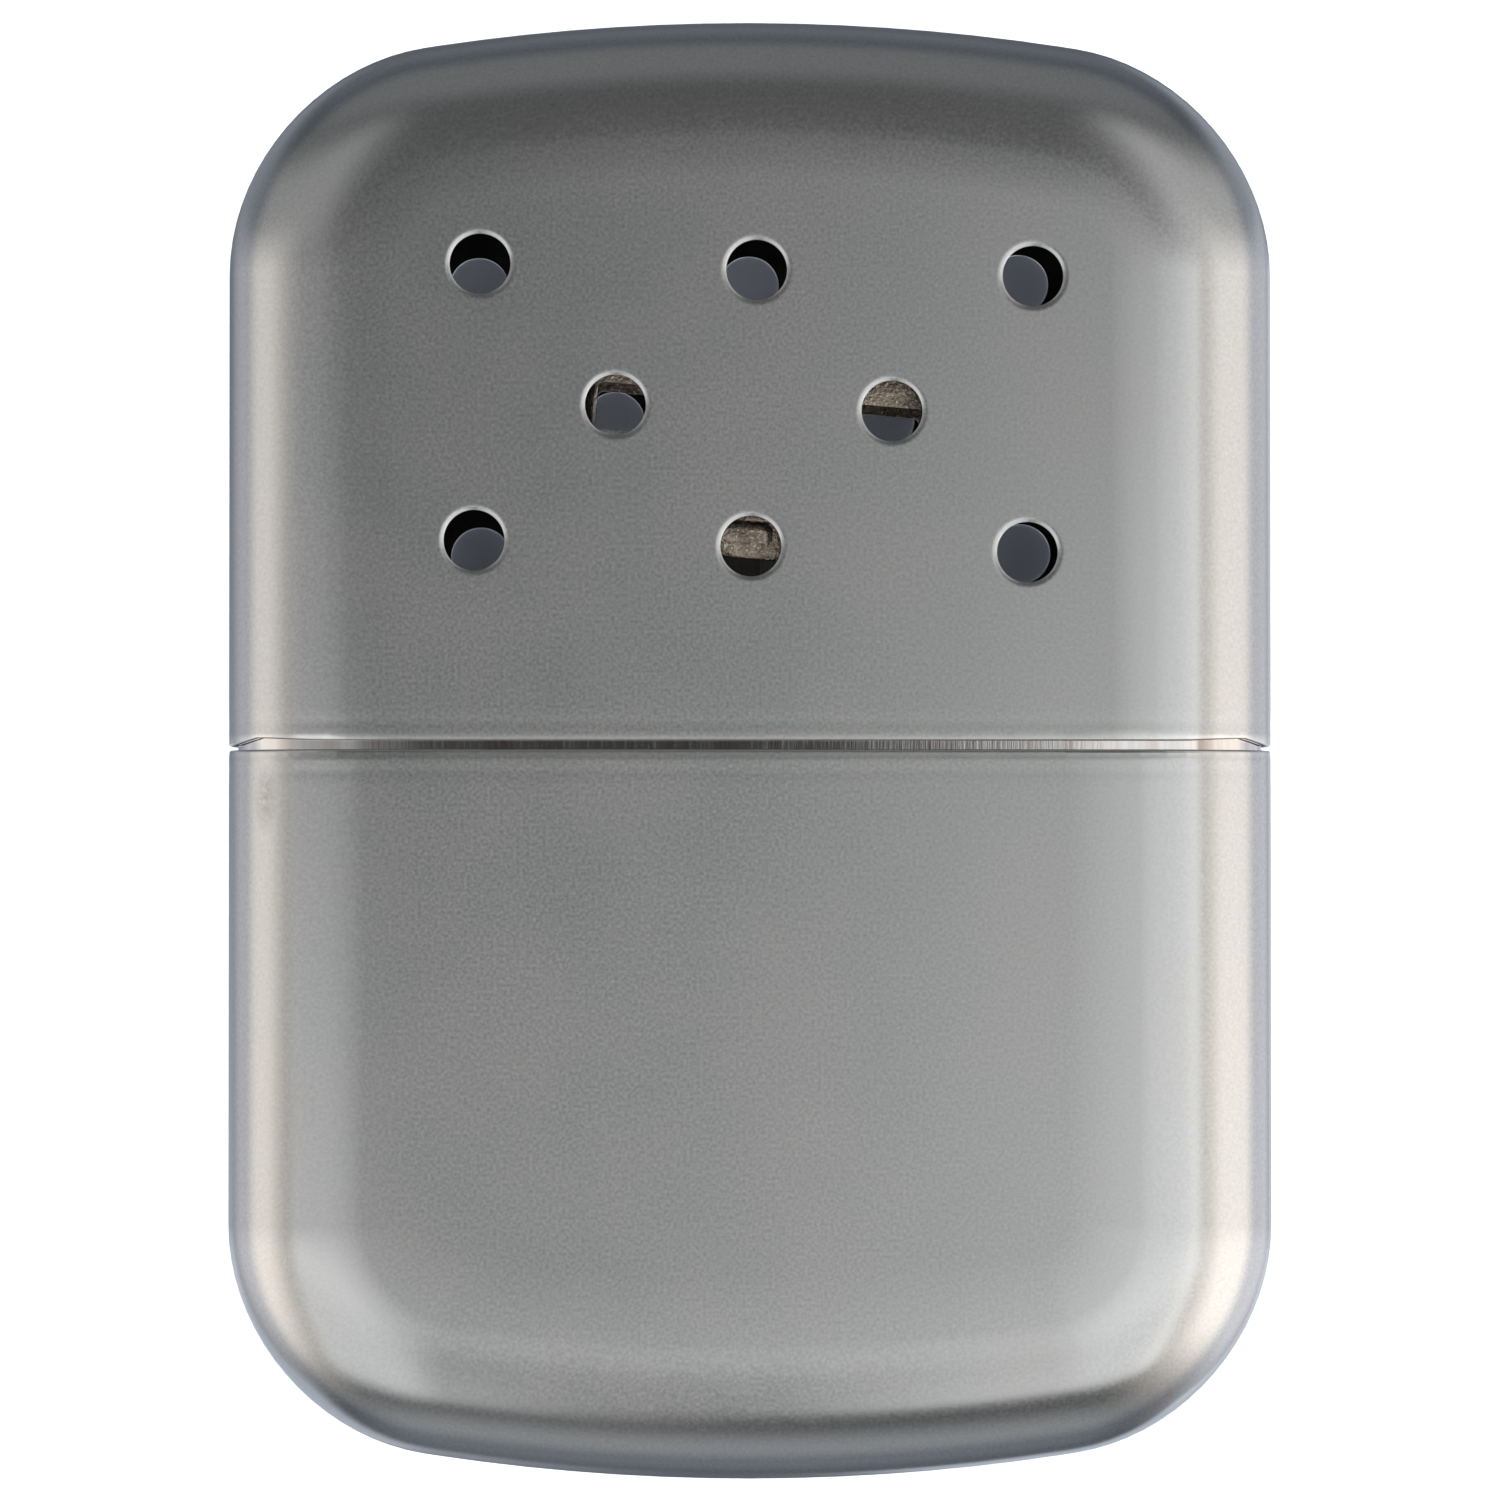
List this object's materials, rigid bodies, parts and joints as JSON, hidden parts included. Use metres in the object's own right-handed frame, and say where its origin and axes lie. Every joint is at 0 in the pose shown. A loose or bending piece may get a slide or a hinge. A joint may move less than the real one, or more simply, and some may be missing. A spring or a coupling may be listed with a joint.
{
  "type": "catalytic hand warmer",
  "caption": "Flat refillable catalytic hand warmer: a vented lift-off lid over a fuel tank with a guide collar, a filler neck and a pull-off burner that holds a glass-fibre mat.",
  "frame": {"origin": "middle of the closed outline, on the flat back face that it lies on", "axes": "+X to the right seen from the front, +Y from the tank's end to the lid's end, +Z out of the front face"},
  "size_m": [0.07, 0.0978, 0.015],
  "materials": {
    "satin_case": "satin nickel-plated, fine grain",
    "polished_guide": "polished nickel plate, scratched by the lid",
    "burner_sheet": "heat-tinted pressed sheet",
    "catalyst_glass_fibre": "woven glass fibre carrying the catalyst",
    "felt": "pressed felt",
    "cotton": "loose cotton wadding"
  },
  "bodies": {
    "tank": {"tank_shell": "satin_case", "tank_cap": "polished_guide", "filler_neck": "polished_guide", "felt_pad": "felt", "cotton_fill": "cotton"},
    "lid": {"lid_shell": "satin_case"},
    "burner": {"burner_cage": "burner_sheet", "burner_tray": "burner_sheet", "catalyst_mat": "catalyst_glass_fibre"}
  },
  "joints": [
    {"name": "lid_lift", "type": "slide", "parent": "tank", "child": "lid", "axis": [0, 1, 0], "range_m": [0, 0.05]},
    {"name": "burner_pull", "type": "slide", "parent": "tank", "child": "burner", "axis": [0.0872, 0.9962, 0], "range_m": [0, 0.016]}
  ]
}
